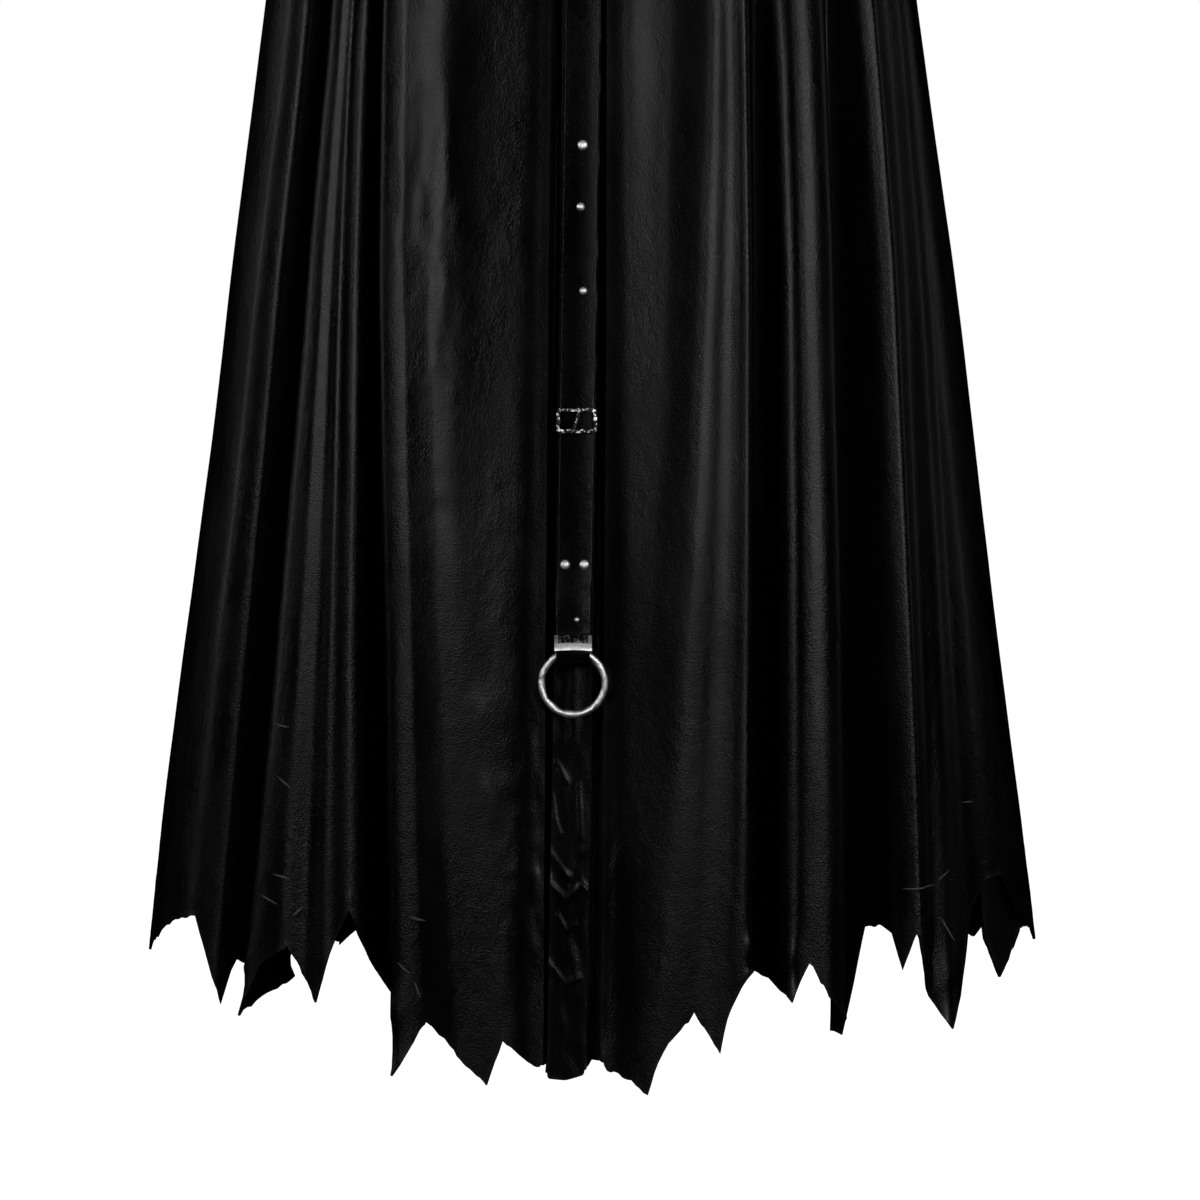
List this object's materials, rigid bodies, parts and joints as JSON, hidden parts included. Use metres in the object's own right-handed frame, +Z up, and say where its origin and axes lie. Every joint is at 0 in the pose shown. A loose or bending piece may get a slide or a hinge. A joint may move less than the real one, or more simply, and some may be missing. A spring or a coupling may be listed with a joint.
{
  "type": "leather armour coat",
  "caption": "Long sleeveless black leather armour coat with deep flared folds, a torn hem, and a riveted centre-back strap that ends in a metal keeper and a ring.",
  "frame": {"origin": "middle of the shoulder seat, where the coat hangs on the shoulders, between the two shoulder seams at the neck", "axes": "+Z up along the coat, -Y towards the back with the strap and ring, +X towards the wearer's right"},
  "size_m": [0.7128, 0.568, 1.4015],
  "materials": {
    "black_leather": "glossy black waxed leather with a mottled grain, creases and edges worn bright",
    "strap_leather": "black strap leather, creased and worn at the edges",
    "polished_steel": "polished steel, slightly worn"
  },
  "bodies": {
    "coat": {"back_panel_left": "black_leather", "back_panel_right": "black_leather", "front_panel_left": "black_leather", "front_panel_right": "black_leather", "centre_back_panel": "black_leather", "centre_strip": "strap_leather", "upper_strap": "strap_leather", "ring_strap": "strap_leather", "strap_buckle": "polished_steel", "buckle_prong": "polished_steel", "strap_keeper": "polished_steel", "rivet_1": "polished_steel", "rivet_2": "polished_steel", "rivet_3": "polished_steel", "rivet_4": "polished_steel", "rivet_5": "polished_steel", "rivet_6": "polished_steel", "rivet_7": "polished_steel"},
    "ring": {"swing_ring": "polished_steel"}
  },
  "joints": [
    {"name": "ring_swing", "type": "hinge", "parent": "coat", "child": "ring", "pos_m": [-0.0142, -0.2568, -1.04949], "axis": [-1, 0, 0], "range_deg": [0, 150]}
  ]
}
